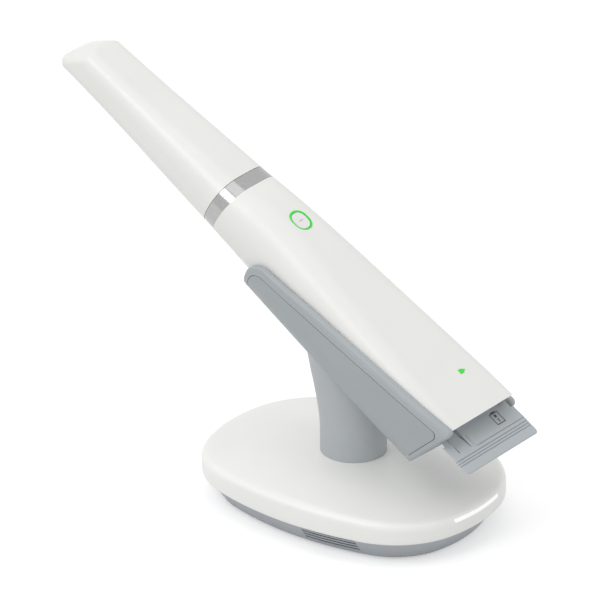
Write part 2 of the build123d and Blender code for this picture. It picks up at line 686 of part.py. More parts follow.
with BuildPart() as snout_window:
    with BuildSketch(along_tip(SNOUT_LENGTH)):
        RectangleRounded(*SNOUT_FRONT)
    extrude(amount=SNOUT_GLASS)
snout_window.part.label = "snout_window"

# Optical frame: a flange behind the collar, a floor back to the battery bay, and board posts
bay_end = BATTERY_END + CONTACT_GAP + BAY_END_WALL
flange_back = flange_front - FLANGE_THICKNESS
floor_length = flange_back - bay_end
post_height = MAIN_BOARD_HEIGHT - FRAME_FLOOR_TOP
post_x = MAIN_BOARD_WIDTH / 2 - BOARD_POST
post_stations = (MAIN_BOARD_START + BOARD_POST, MAIN_BOARD_END - BOARD_POST)
flange_inset = SLEEVE_WALL + FIT
with BuildPart() as flange_block:
    add(skin(body_sections, -flange_inset))
    split(bisect_by=across(flange_back), keep=Keep.TOP)
    split(bisect_by=across(flange_front), keep=Keep.BOTTOM)
with BuildPart() as optics_frame:
    add(flange_block.part)
    with BuildSketch(across(bay_end, FRAME_FLOOR_TOP - FRAME_FLOOR / 2)):
        Rectangle(2 * FRAME_HALF_WIDTH, FRAME_FLOOR)
    extrude(amount=floor_length)
    with Locations(*[facing_up(s, FRAME_FLOOR_TOP, x) for s in post_stations for x in (-post_x, post_x)]):
        Cylinder(BOARD_POST, post_height, align=(Align.CENTER, Align.CENTER, Align.MIN))
    with BuildSketch(across(flange_front, -TIP_DROP)):
        Circle(LENS_RADIUS - SNOUT_WALL)
    extrude(amount=-FLANGE_THICKNESS, mode=Mode.SUBTRACT)
optics_frame.part.label = "optics_frame"

# Lens barrel, camera, projector and heat sink, one behind the other on the frame's floor
lens_centre = FRAME_FLOOR_TOP + LENS_RADIUS
lens_back = flange_back - LENS_LENGTH
with BuildPart() as lens_barrel:
    with BuildSketch(across(lens_back, lens_centre)):
        Circle(LENS_RADIUS)
    extrude(amount=LENS_LENGTH)
    with BuildSketch(across(lens_back + LENS_LENGTH / 3, lens_centre)):
        Circle(LENS_RADIUS)
        Circle(LENS_RADIUS - SNOUT_WALL / 2, mode=Mode.SUBTRACT)
    extrude(amount=LENS_LENGTH / 4, mode=Mode.SUBTRACT)
lens_barrel.part.label = "lens_barrel"


def floor_block(front, size):
    """Module that stands on the frame's floor; size is its width, height and length."""
    width, height, length = size
    with BuildPart() as block:
        with BuildSketch(across(front - length, FRAME_FLOOR_TOP + height / 2)):
            RectangleRounded(width, height, 1)
        extrude(amount=length)
    return block.part


camera_front = lens_back
projector_front = camera_front - CAMERA_SIZE[2] - MODULE_GAP
sink_front = projector_front - PROJECTOR_SIZE[2]
with BuildPart() as camera_module:
    add(floor_block(camera_front, CAMERA_SIZE))
camera_module.part.label = "camera_module"
with BuildPart() as projector_module:
    add(floor_block(projector_front, PROJECTOR_SIZE))
projector_module.part.label = "projector_module"

sink_width, sink_height, sink_length = HEAT_SINK_SIZE
fin_pitch = (sink_width - HEAT_SINK_FIN) / (HEAT_SINK_FINS - 1)
with BuildPart() as heat_sink:
    with BuildSketch(across(sink_front - sink_length, FRAME_FLOOR_TOP)):
        with Locations((0, HEAT_SINK_BASE / 2)):
            Rectangle(sink_width, HEAT_SINK_BASE)
        with Locations((0, sink_height / 2)):
            with GridLocations(fin_pitch, 0, HEAT_SINK_FINS, 1):
                Rectangle(HEAT_SINK_FIN, sink_height)
    extrude(amount=sink_length)
heat_sink.part.label = "heat_sink"

with BuildPart() as main_board:
    with BuildSketch(facing_up((MAIN_BOARD_START + MAIN_BOARD_END) / 2, MAIN_BOARD_HEIGHT)):
        RectangleRounded(MAIN_BOARD_WIDTH, MAIN_BOARD_END - MAIN_BOARD_START, BOARD_POST)
    extrude(amount=BOARD_THICKNESS)
main_board.part.label = "main_board"

# Battery bay: a moulded box behind a flange in the sleeve's mouth
bay_start = SLEEVE_START + TONGUE_GAP
with BuildPart() as bay_flange:
    add(skin(body_sections, -flange_inset))
    split(bisect_by=mouth.offset(TONGUE_GAP), keep=Keep.TOP)
    split(bisect_by=mouth.offset(TONGUE_GAP + BAY_FLANGE), keep=Keep.BOTTOM)
bay_width = BATTERY_WIDTH + 2 * BAY_GAP
bay_height = BATTERY_HEIGHT + 2 * BAY_GAP
bay_corner = BATTERY_CORNER + BAY_GAP
bay_mid = TAIL_RISE / 2
contact_x = [CONTACT_PITCH * (pin - (CONTACT_COUNT - 1) / 2) for pin in range(CONTACT_COUNT)]
with BuildPart() as battery_bay:
    add(bay_flange.part)
    with BuildSketch(across(bay_start, bay_mid)):
        RectangleRounded(bay_width + 2 * BAY_WALL, bay_height + 2 * BAY_WALL, bay_corner + BAY_WALL)
    extrude(amount=bay_end - bay_start)
    with BuildSketch(across(bay_start, bay_mid)):
        RectangleRounded(bay_width, bay_height, bay_corner)
    extrude(amount=BATTERY_END + CONTACT_GAP - bay_start, mode=Mode.SUBTRACT)
    with BuildSketch(across(BATTERY_END, bay_mid)):
        with Locations(*[(x, 0) for x in contact_x]):
            Circle(CONTACT_RADIUS)
    extrude(amount=2 * BAY_END_WALL, mode=Mode.SUBTRACT)
    split(bisect_by=mouth.offset(TONGUE_GAP), keep=Keep.TOP)
battery_bay.part.label = "battery_bay"

with BuildPart() as bay_contacts:
    with BuildSketch(across(BATTERY_END + CONTACT_GAP, bay_mid)):
        with Locations(*[(x, 0) for x in contact_x]):
            Circle(CONTACT_RADIUS)
    extrude(amount=BAY_END_WALL)
bay_contacts.part.label = "bay_contacts"

# Battery pack: a sealed block with a ribbed pull tongue and a snap finger
tongue_end = SLEEVE_START - TONGUE_GAP
panel_width = PANEL_LEFT + PANEL_RIGHT
finger_width = FINGER_SLITS[1] - FINGER_SLITS[0]
flank_foot = hand.location * Location((PANEL_LEFT, TONGUE_TOP, 0), (0, 0, -PANEL_LEAN))
flank = Plane(flank_foot * Location((0, 0, 0), (-90, 0, 0)))
with BuildPart() as panel:
    with BuildSketch(side_plane.offset(-PANEL_LEFT)):
        with BuildLine():
            Polyline((PANEL_END, TONGUE_TOP), (tongue_end, TONGUE_TOP), (tongue_end, TONGUE_TOP + PANEL_RISE),
                     close=True)
        make_face()
    extrude(amount=panel_width)
    split(bisect_by=flank, keep=Keep.BOTTOM)
with BuildPart() as battery_pack:
    with BuildSketch(across(SLEEVE_START, bay_mid)):
        RectangleRounded(BATTERY_WIDTH, BATTERY_HEIGHT, BATTERY_CORNER)
    extrude(amount=BATTERY_END - SLEEVE_START)
    split(bisect_by=mouth.offset(TONGUE_GAP), keep=Keep.TOP)
    with BuildSketch(facing_up(TONGUE_ROOT / 2, TONGUE_TOP)):
        RectangleRounded(TONGUE_WIDTH, TONGUE_ROOT, TONGUE_CORNER)
    extrude(amount=-TONGUE_THICKNESS)
    with BuildSketch(facing_up((TONGUE_ROOT + BATTERY_END) / 2, TONGUE_TOP)):
        Rectangle(BATTERY_WIDTH, BATTERY_END - TONGUE_ROOT)
    extrude(amount=-TONGUE_THICKNESS)
    fillet(battery_pack.edges().sort_by(Axis(hand.origin, hand.z_dir))[:2], TONGUE_THICKNESS / 3)
    add(panel.part)
    for rib in range(RIB_COUNT):
        groove = Location((0, TONGUE_TOP, RIB_FIRST + rib * RIB_PITCH), (0, 90, 0))
        with Locations(Plane(hand.location * groove)):
            Cylinder(RIB_RADIUS, 2 * TONGUE_WIDTH, mode=Mode.SUBTRACT)
    for x in FINGER_SLITS:
        with BuildSketch(facing_up((SLIT_START + TONGUE_ROOT) / 2, TONGUE_TOP, x)):
            Rectangle(SLIT_WIDTH, TONGUE_ROOT - SLIT_START)
        extrude(amount=-2 * TONGUE_THICKNESS, mode=Mode.SUBTRACT)
    with BuildSketch(facing_up((POCKET_START + TONGUE_ROOT) / 2, TONGUE_TOP, sum(FINGER_SLITS) / 2)):
        Rectangle(finger_width, TONGUE_ROOT - POCKET_START)
    extrude(amount=-POCKET_DEPTH, mode=Mode.SUBTRACT)
battery_pack.part.label = "battery_pack"

with BuildPart() as battery_contacts:
    with BuildSketch(across(BATTERY_END, bay_mid)):
        with Locations(*[(x, 0) for x in contact_x]):
            Circle(CONTACT_RADIUS)
    extrude(amount=CONTACT_GAP / 2)
battery_contacts.part.label = "battery_contacts"

pieces = [
    base_shell, light_bar, light_board, underbody, rubber_feet, ballast_plate, base_board, power_inlet,
    column_screws, column, cradle_cover, cradle_tray, cradle_screws, body_sleeve, battery_light, button_ring,
    power_button, button_switch, collar, scan_tip, tip_mirror, snout, snout_window, optics_frame, lens_barrel,
    camera_module, projector_module, heat_sink, main_board, battery_bay, bay_contacts, battery_pack,
    battery_contacts,
]
os.makedirs("parts", exist_ok=True)
for piece in pieces:
    export_step(piece.part, f"parts/{piece.part.label}.step")
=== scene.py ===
import bmesh
import bpy
import math
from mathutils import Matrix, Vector


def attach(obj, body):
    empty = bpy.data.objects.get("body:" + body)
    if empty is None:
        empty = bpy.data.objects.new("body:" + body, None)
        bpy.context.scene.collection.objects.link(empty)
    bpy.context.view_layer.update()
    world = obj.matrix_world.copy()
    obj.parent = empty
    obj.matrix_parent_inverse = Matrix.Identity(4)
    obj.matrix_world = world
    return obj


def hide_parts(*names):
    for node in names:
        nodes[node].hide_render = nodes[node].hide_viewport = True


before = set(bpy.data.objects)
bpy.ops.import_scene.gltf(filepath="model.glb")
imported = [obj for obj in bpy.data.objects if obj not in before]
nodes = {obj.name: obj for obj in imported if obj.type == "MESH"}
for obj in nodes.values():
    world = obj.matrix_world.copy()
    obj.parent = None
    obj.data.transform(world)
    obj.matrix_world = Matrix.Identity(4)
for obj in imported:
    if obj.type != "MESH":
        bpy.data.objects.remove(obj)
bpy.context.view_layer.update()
MM = 0.001


# Materials: all are procedural, and their noise follows each object's own coordinates

RAMP = (0.3, 0.7)              # the part of a noise's range that is spread out
CLOUD = (38, 4)                # scale and detail of a moulding's slow change of tone
HANDLED = (120, 5, 0.6)        # scale, detail and roughness of its change of gloss
GRAIN_DETAIL = 2
STREAK = (3, 0.6)              # detail and roughness of a metal's streaks
COAT_ROUGHNESS = 0.2
GLOW_CLOUD = (400, 3)
GLOW_SPREAD = 0.05


def fresh(name):
    mat = bpy.data.materials.new(name)
    mat.use_nodes = True
    tree = mat.node_tree
    return mat, tree, tree.nodes["Principled BSDF"]


def noise(tree, scale, detail=3.0, rough=0.5, stretch=None):
    coord = tree.nodes.new("ShaderNodeTexCoord")
    tex = tree.nodes.new("ShaderNodeTexNoise")
    tex.inputs["Scale"].default_value = scale
    tex.inputs["Detail"].default_value = detail
    tex.inputs["Roughness"].default_value = rough
    place = coord.outputs["Object"]
    if stretch:
        mapping = tree.nodes.new("ShaderNodeMapping")
        mapping.inputs["Scale"].default_value = stretch
        tree.links.new(place, mapping.inputs["Vector"])
        place = mapping.outputs["Vector"]
    tree.links.new(place, tex.inputs["Vector"])
    return tex.outputs["Fac"]


def ranged(tree, value, low, high):
    node = tree.nodes.new("ShaderNodeMapRange")
    node.inputs["From Min"].default_value = RAMP[0]
    node.inputs["From Max"].default_value = RAMP[1]
    node.inputs["To Min"].default_value = low
    node.inputs["To Max"].default_value = high
    tree.links.new(value, node.inputs["Value"])
    return node.outputs["Result"]


def blended(tree, value, first, second):
    ramp = tree.nodes.new("ShaderNodeValToRGB")
    for element, place, colour in zip(ramp.color_ramp.elements, RAMP, (first, second)):
        element.position = place
        element.color = (*colour, 1)
    tree.links.new(value, ramp.inputs["Fac"])
    return ramp.outputs["Color"]


def bumped(tree, shader, value, distance):
    bump = tree.nodes.new("ShaderNodeBump")
    bump.inputs["Strength"].default_value = 1.0
    bump.inputs["Distance"].default_value = distance
    tree.links.new(value, bump.inputs["Height"])
    tree.links.new(bump.outputs["Normal"], shader.inputs["Normal"])


def darker(colour, tone):
    return [c * (1 - tone) for c in colour]


def paler(colour, tone):
    return [min(1, c * (1 + tone)) for c in colour]


def moulded(name, colour, rough, spread=0.06, tone=0.02, grain=2600, depth=6e-6, level=0.5,
            clear=0.0):
    """Moulded plastic: a faint change of tone, handled gloss and a fine grain."""
    mat, tree, shader = fresh(name)
    tint = blended(tree, noise(tree, *CLOUD), darker(colour, tone), paler(colour, tone))
    gloss = ranged(tree, noise(tree, *HANDLED), rough - spread, rough + spread)
    tree.links.new(tint, shader.inputs["Base Color"])
    tree.links.new(gloss, shader.inputs["Roughness"])
    bumped(tree, shader, noise(tree, grain, GRAIN_DETAIL), depth)
    shader.inputs["Specular IOR Level"].default_value = level
    shader.inputs["Coat Weight"].default_value = clear
    shader.inputs["Coat Roughness"].default_value = COAT_ROUGHNESS
    return mat


def metal(name, colour, rough, stretch=None, grain=900, spread=0.05, tone=0.05, depth=2e-6):
    """Metal whose fine streaks change its tone, gloss and surface together."""
    mat, tree, shader = fresh(name)
    streak = noise(tree, grain, *STREAK, stretch)
    tint = blended(tree, streak, darker(colour, tone), paler(colour, tone))
    gloss = ranged(tree, streak, rough - spread, rough + spread)
    tree.links.new(tint, shader.inputs["Base Color"])
    tree.links.new(gloss, shader.inputs["Roughness"])
    bumped(tree, shader, streak, depth)
    shader.inputs["Metallic"].default_value = 1.0
    return mat


def glowing(name, colour, strength, rough=0.35, tone=0.08):
    """A diffuser that is lit from behind."""
    mat, tree, shader = fresh(name)
    cloud = noise(tree, *GLOW_CLOUD)
    tint = blended(tree, cloud, darker(colour, tone), colour)
    gloss = ranged(tree, cloud, rough - GLOW_SPREAD, rough + GLOW_SPREAD)
    tree.links.new(tint, shader.inputs["Base Color"])
    tree.links.new(tint, shader.inputs["Emission Color"])
    tree.links.new(gloss, shader.inputs["Roughness"])
    shader.inputs["Emission Strength"].default_value = strength
    return mat


def board(name):
    """A circuit board with its tracks."""
    mat, tree, shader = fresh(name)
    coord = tree.nodes.new("ShaderNodeTexCoord")
    brick = tree.nodes.new("ShaderNodeTexBrick")
    brick.inputs["Scale"].default_value = 260
    brick.inputs["Color1"].default_value = (0.012, 0.075, 0.03, 1)
    brick.inputs["Color2"].default_value = (0.016, 0.1, 0.04, 1)
    brick.inputs["Mortar"].default_value = (0.03, 0.16, 0.07, 1)
    brick.inputs["Mortar Size"].default_value = 0.03
    tree.links.new(coord.outputs["Object"], brick.inputs["Vector"])
    tree.links.new(brick.outputs["Color"], shader.inputs["Base Color"])
    tree.links.new(ranged(tree, noise(tree, 300), 0.3, 0.45), shader.inputs["Roughness"])
    bumped(tree, shader, brick.outputs["Fac"], 2e-5)
    return mat


def glass(name):
    mat, tree, shader = fresh(name)
    smear = noise(tree, 180, 4)
    tint = blended(tree, smear, (0.82, 0.9, 0.94), (0.9, 0.96, 0.98))
    tree.links.new(tint, shader.inputs["Base Color"])
    tree.links.new(ranged(tree, smear, 0.02, 0.06), shader.inputs["Roughness"])
    shader.inputs["Transmission Weight"].default_value = 0.9
    shader.inputs["IOR"].default_value = 1.5
    return mat


def linear(*rgb):
    """A colour as a screen shows it, 0 to 255, in the linear values that a shader takes."""
    return [((c / 255 + 0.055) / 1.055) ** 2.4 for c in rgb]


WHITE = moulded("white_shell", linear(232, 232, 229), 0.42, tone=0.012, clear=0.12)
# Painted light: the base is the sleeve's same white plastic made lighter, to stand in for the
# light that falls on its top
BASE_PAINTED_LIGHT = moulded("base_white_painted_light", linear(242, 242, 239), 0.42, tone=0.012, clear=0.12)
TIP = moulded("tip_shell", linear(232, 232, 229), 0.36, tone=0.012, grain=3200, depth=3e-6,
              clear=0.15)
CRADLE = moulded("cradle_grey", linear(163, 169, 172), 0.5, depth=8e-6)
# Painted highlight: the cradle's rim is the cradle's same grey made lighter, to stand in for the
# light band along its rounded top
RIM_PAINTED_LIGHT = moulded("rim_grey_painted_light", linear(166, 172, 175), 0.46, depth=8e-6)
# Painted light: the column is the cradle's same grey made lighter, to stand in for the light that
# falls on it
COLUMN_PAINTED_LIGHT = moulded("column_grey_painted_light", linear(178, 183, 186), 0.5, depth=8e-6)
UNDER = moulded("underbody_grey", linear(179, 184, 189), 0.55, tone=0.03, depth=9e-6)
BATTERY = moulded("battery_grey", linear(177, 183, 187), 0.48, depth=8e-6)
CHROME = metal("collar_metal", (0.42, 0.42, 0.42), 0.16, grain=500, spread=0.04, tone=0.04)
BUTTON = moulded("button_white", linear(232, 230, 229), 0.4, tone=0.015)
GREEN = glowing("green_light", linear(54, 202, 60), 0.28)
LAMP = glowing("white_light", linear(240, 242, 241), 0.4)
RUBBER = moulded("rubber", linear(86, 88, 90), 0.8, tone=0.1, grain=1500, depth=3e-5, level=0.3)
MIRROR = metal("mirror", (0.9, 0.92, 0.94), 0.04, spread=0.02, tone=0.01, depth=2e-7)
GLASS = glass("window_glass")
BLACK = moulded("black_plastic", (0.02, 0.02, 0.022), 0.5, tone=0.2, depth=1e-5)
BOARD = board("board_green")
STEEL = metal("steel", (0.5, 0.5, 0.5), 0.35, stretch=(1, 8, 1))
ALUMINIUM = metal("aluminium", (0.72, 0.73, 0.74), 0.38, stretch=(6, 1, 1))
BRASS = metal("contact_brass", (0.8, 0.58, 0.2), 0.25)
INK = moulded("sign_grey", linear(82, 82, 84), 0.6, tone=0.05)
PALE_INK = moulded("sign_pale", linear(178, 178, 178), 0.6, tone=0.03)

DRESS = {
    "base_shell": BASE_PAINTED_LIGHT, "light_bar": LAMP, "light_board": BOARD, "underbody": UNDER,
    "rubber_feet": RUBBER, "ballast_plate": STEEL, "base_board": BOARD, "power_inlet": BLACK,
    "column_screws": STEEL, "column": COLUMN_PAINTED_LIGHT, "cradle_cover": CRADLE, "cradle_tray": RIM_PAINTED_LIGHT,
    "cradle_screws": STEEL, "body_sleeve": WHITE, "battery_light": GREEN, "button_ring": GREEN,
    "power_button": BUTTON, "button_switch": BLACK, "collar": CHROME, "scan_tip": TIP,
    "tip_mirror": MIRROR, "snout": BLACK, "snout_window": GLASS, "optics_frame": BLACK,
    "lens_barrel": ALUMINIUM, "camera_module": BOARD, "projector_module": BLACK,
    "heat_sink": ALUMINIUM, "main_board": BOARD, "battery_bay": BLACK, "bay_contacts": BRASS,
    "battery_pack": BATTERY, "battery_contacts": BRASS,
}
for name, mat in DRESS.items():
    mesh = nodes[name].data
    mesh.materials.clear()
    mesh.materials.append(mat)


# The handpiece's own frame, whose coordinates are in mm: x to the near side, height over its
# axis, and along it from the tail. Vectors and the other pieces' lengths are in metres

TAIL = Vector((0.07844, 0, 0.0435))
TOP = Vector((0.53288, 0, 0.84619))
AXIS = Vector((-0.84619, 0, 0.53288))
NEAR = Vector((0, -1, 0))
SLEEVE_TOP = 16.6
MOUTH_SLANT = math.tan(math.radians(19.3))


def hand_point(x, height, along):
    return TAIL + NEAR * (x * MM) + TOP * (height * MM) + AXIS * (along * MM)


def in_hand(point):
    way = (point - TAIL) / MM
    return way.dot(NEAR), way.dot(TOP), way.dot(AXIS)


def clamped(value, low=0.0, high=1.0):
    return max(low, min(high, value))


def smooth(value):
    value = clamped(value)
    return value * value * (3 - 2 * value)


# Making a piece from a mesh, or from a node's mesh with its points moved

SHARP = math.radians(32)
WELD = 1e-6
DIVISIONS = 5


def shown(name, bm, mat, slot, body, *replaced):
    """A finished mesh as a piece on a body, smooth except at its sharp edges."""
    bmesh.ops.recalc_face_normals(bm, faces=bm.faces)
    for face in bm.faces:
        face.smooth = True
    for edge in bm.edges:
        edge.smooth = len(edge.link_faces) == 2 and edge.calc_face_angle(0) < SHARP
    mesh = bpy.data.meshes.new(name)
    bm.to_mesh(mesh)
    bm.free()
    mesh.materials.append(mat)
    piece = bpy.data.objects.new(name, mesh)
    bpy.context.scene.collection.objects.link(piece)
    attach(piece, body)
    if replaced:
        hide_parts(*replaced)


def reshaped(name, node, move, slot, body, longest=0.0, wanted=None):
    """A copy of a node's mesh with its points moved, shown in the node's place.

    Where wanted says so of both ends, an edge longer than longest is divided first.
    """
    bm = bmesh.new()
    bm.from_mesh(nodes[node].data)
    bmesh.ops.remove_doubles(bm, verts=bm.verts, dist=WELD)
    if wanted:
        for _ in range(DIVISIONS):
            long_edges = [edge for edge in bm.edges if edge.calc_length() > longest
                          and all(wanted(vert.co) for vert in edge.verts)]
            bmesh.ops.subdivide_edges(bm, edges=long_edges, cuts=1)
            bmesh.ops.triangulate(bm, faces=[face for face in bm.faces if len(face.verts) > 4])
    for vert in bm.verts:
        vert.co = move(vert.co)
    shown(name, bm, DRESS[node], slot, body, node)


# The white shell ends a little higher over the underbody, and its top is crowned more

LIP_LIFT = 1.3 * MM
LIP_TOP, LIP_RUN = 0.0175, 0.0055
UNDER_FLOOR, UNDER_RUN = 0.002, 0.008
EDGE_DROP = 1.3 * MM
EDGE_FOOT, EDGE_RUN = 0.0205, 0.0035
SHELL_HALF = (0.07, 0.052)
CROWN_START, CROWN_RUN = 0.45, 0.5


def crowned_shell(point):
    lift = LIP_LIFT * clamped((LIP_TOP - point.z) / LIP_RUN)
    radius = math.hypot(point.x / SHELL_HALF[0], point.y / SHELL_HALF[1])
    drop = EDGE_DROP * smooth((radius - CROWN_START) / CROWN_RUN)
    drop *= clamped((point.z - EDGE_FOOT) / EDGE_RUN)
    return point + Vector((0, 0, lift - drop))


def stretched_under(point):
    return point + Vector((0, 0, LIP_LIFT * clamped((point.z - UNDER_FLOOR) / UNDER_RUN)))


reshaped("base_case", "base_shell", crowned_shell, "white_shell", "stand")
reshaped("base_tray", "underbody", stretched_under, "underbody_grey", "stand")

# The column flares more evenly up to the cradle, whose underside cuts it at a slant

COLUMN_FOOT, CUT_HEIGHT, CUT_LEAN = 0.033, 0.0375, 0.0125
FLARE, FLARE_TO_TIP = 0.95, 0.4
FLARE_FULL, FLARE_END, FLARE_FADE = 0.6, 1.03, 0.33


def flared(point):
    radius = math.hypot(point.x, point.y)
    if radius == 0:
        return point
    to_tip = -point.x / radius
    rise = clamped((point.z - COLUMN_FOOT) / (CUT_HEIGHT + CUT_LEAN * to_tip), 0, FLARE_END)
    swell = FLARE + FLARE_TO_TIP * to_tip
    swell *= smooth(rise / FLARE_FULL) * smooth((FLARE_END - rise) / FLARE_FADE)
    return Vector((point.x, point.y, 0)) * (1 + swell * MM / radius) + Vector((0, 0, point.z))


reshaped("column_post", "column", flared, "cradle_grey", "stand")

# The cradle follows the sleeve's rounded sections. Its near rim climbs further round them
# towards the tail and stays lower towards the tip

GRIP_START, GRIP_END = 18.4, 138.0
SECTION_HALF, SECTION_TAPER = 25.0, 4.8
SECTION_CORNER, CORNER_GROWTH = 6.0, 9.5
RIM_CLIMB, CLIMB_END, CLIMB_RUN = 2.7, 116.0, 100.4
RIM_DROP, DROP_START, DROP_RUN = 1.6, 100.0, 38.0
FADE_HEIGHT, FADE_X, FADE_RUN = -8.0, -4.0, 14.0


def section(along):
    """Middle of the sections' upper corner at a place along the handpiece, and its radius."""
    grip = clamped((along - GRIP_START) / (GRIP_END - GRIP_START))
    corner = SECTION_CORNER + CORNER_GROWTH * grip
    return SECTION_HALF - SECTION_TAPER * grip - corner, SLEEVE_TOP - corner, corner


def unrolled(x, height, mid_x, mid_height):
    """How far out from the corner's middle a point is, and how far up round it."""
    if height <= mid_height:
        return x - mid_x, height - mid_height
    reach = math.hypot(x - mid_x, height - mid_height)
    return reach, reach * math.atan2(height - mid_height, x - mid_x)


def rolled(reach, path, mid_x, mid_height, along, side=1):
    """The point that is so far out and so far up round the corner."""
    if path <= 0:
        return hand_point(side * (mid_x + reach), mid_height + path, along)
    turn = path / reach
    x = mid_x + reach * math.cos(turn)
    return hand_point(side * x, mid_height + reach * math.sin(turn), along)


def climbed_rim(point):
    x, height, along = in_hand(point)
    mid_x, mid_height, _ = section(along)
    climb = RIM_CLIMB * clamped((CLIMB_END - along) / CLIMB_RUN)
    climb -= RIM_DROP * smooth((along - DROP_START) / DROP_RUN)
    climb *= clamped((height - FADE_HEIGHT) / FADE_RUN) * clamped((x - FADE_X) / FADE_RUN)
    if climb == 0 or x <= mid_x:
        return point
    reach, path = unrolled(x, height, mid_x, mid_height)
    return rolled(reach, path + climb, mid_x, mid_height, along)


# The rim's outer top edge is rounded over

RIM_ROUND, RIM_SPARE = 2.3, 0.3
RIM_DEEP, RIM_WIDE = 5.0, 3.2
RIM_EDGE = 0.7 * MM
RIM_OUTER, RIM_MIDDLE = 4.15, 2.9
RIM_TOP, RIM_TOP_AT, RIM_SLOPE = 13.1, 40.0, 0.11125


def rim_place(point):
    """How far a point is up round the section and out from it, with the rim's top and side."""
    x, height, along = in_hand(point)
    mid_x, mid_height, corner = section(along)
    reach, path = unrolled(abs(x), height, mid_x, mid_height)
    rise = RIM_TOP - RIM_SLOPE * (along - RIM_TOP_AT) - mid_height
    middle = corner + RIM_MIDDLE
    top = middle * math.asin(clamped(rise / middle)) if rise > 0 else rise
    return path, reach, top, corner + RIM_OUTER


def on_rim(point):
    path, reach, top, outer = rim_place(point)
    return -RIM_SPARE < top - path < RIM_DEEP and -RIM_SPARE < outer - reach < RIM_WIDE


def rounded_rim(point):
    path, reach, top, outer = rim_place(point)
    up, out = path - (top - RIM_ROUND), reach - (outer - RIM_ROUND)
    far = math.hypot(up, out)
    if min(up, out) <= 0 or up > RIM_ROUND + RIM_SPARE or far <= RIM_ROUND:
        return point
    x, _, along = in_hand(point)
    mid_x, mid_height, _ = section(along)
    path = top - RIM_ROUND + up * RIM_ROUND / far
    reach = outer - RIM_ROUND + out * RIM_ROUND / far
    return rolled(reach, path, mid_x, mid_height, along, math.copysign(1, x))


def finished_rim(point):
    return climbed_rim(rounded_rim(point))


reshaped("cradle_shell", "cradle_cover", climbed_rim, "cradle_grey", "stand")
reshaped("cradle_rim", "cradle_tray", finished_rim, "cradle_grey", "stand", RIM_EDGE, on_rim)

# The tip's slanted end is domed, and its upper corners are cut back

TIP_AXIS = Vector((-0.87121, 0, 0.4909))
TIP_TOP = Vector((0.4909, 0, 0.87121))
TIP_ROOT = Vector((-0.06716, 0, 0.13318))
TIP_LENGTH = 0.0973
END_TURN = math.radians(34)
END_NORMAL = TIP_AXIS * math.cos(END_TURN) + TIP_TOP * math.sin(END_TURN)
END_UP = TIP_TOP * math.cos(END_TURN) - TIP_AXIS * math.sin(END_TURN)
END_MIDDLE = TIP_ROOT + TIP_AXIS * TIP_LENGTH
END_HALF, END_POWER = (0.013, 0.0112), 2.4
END_REACH, END_EDGE = 0.005, 0.0012
DOME = 0.9 * MM
CORNER_CUT, CORNER_REACH = 2.4 * MM, 0.012
CUT_ACROSS, CUT_UP, CUT_RUN = 0.001, -0.004, 0.012


def end_depth(point):
    return -(point - END_MIDDLE).dot(END_NORMAL)


def at_end(point):
    return end_depth(point) < END_REACH


def domed(point):
    depth = end_depth(point)
    if depth > CORNER_REACH:
        return point
    across, up = (point - END_MIDDLE).dot(NEAR), (point - END_MIDDLE).dot(END_UP)
    cut = smooth((abs(across) - CUT_ACROSS) / CUT_RUN) * smooth((up - CUT_UP) / CUT_RUN)
    cut *= smooth(1 - depth / CORNER_REACH)
    radius = abs(across / END_HALF[0]) ** END_POWER + abs(up / END_HALF[1]) ** END_POWER
    swell = clamped(1 - radius) * smooth(1 - depth / END_REACH)
    return point + END_NORMAL * (DOME * swell) - TIP_AXIS * (CORNER_CUT * cut)


reshaped("tip_hood", "scan_tip", domed, "tip_shell", "tip", END_EDGE, at_end)

# Battery: a grip plate with ribs, a dished panel and a snap finger, on the sealed block

PLATE_TOP, PLATE_THICK, PLATE_HALF = 8.4, 2.6, 26.2
PLATE_CORNER, PLATE_END = 2.0, 24.0
SHOULDER, NECK_HALF, NECK_END, ROOT_HALF = 16.5, 24.5, 20.8, 18.5
EDGE_DEPTH, EDGE_WIDE = 0.5, 0.6
RIBS, RIB_DEPTH, RIB_HALF = (4.8, 6.1, 7.5), 0.45, 0.3
PANEL_AT, PANEL_SIDE, PANEL_CORNER = 9.2, 10.4, 2.6
LINE_DEPTH, LINE_HALF = 0.45, 0.25
DISH, DISH_RUN = 0.3, 6.0
SLITS, SLIT_HALF, SLIT_AT, SLIT_DEPTH = (12.6, 20.7), 0.28, 10.5, 2.1
FINGER_DIP, FINGER_RUN = 0.7, 7.0
UNDERCUT_END, UNDERCUT_SIDE = 1.2, 2.7

# Where the plate's grid needs its own lines, besides an even pitch
PITCH_ALONG, PITCH_ACROSS = 0.5, 0.6
EDGE_MARKS = (0.15, 0.3, 0.6)
LINE_MARKS = (0, 0.12, 0.25, 0.38, 0.5)
STEP, SLIT_STEP = 0.1, 0.05


def plate_half(s):
    if s < PLATE_CORNER:
        bow = math.sqrt(PLATE_CORNER ** 2 - (PLATE_CORNER - s) ** 2)
        return PLATE_HALF - PLATE_CORNER + bow
    if s <= SHOULDER:
        return PLATE_HALF
    return NECK_HALF if s <= NECK_END else ROOT_HALF


def panel_depth(x, s):
    """How far inside the panel's outline a point is, with that outline's round corner."""
    inside_x, inside_s = PANEL_SIDE - x, s - PANEL_AT
    if 0 < inside_x < PANEL_CORNER and 0 < inside_s < PANEL_CORNER:
        return PANEL_CORNER - math.hypot(PANEL_CORNER - inside_x, PANEL_CORNER - inside_s)
    return min(inside_x, inside_s)


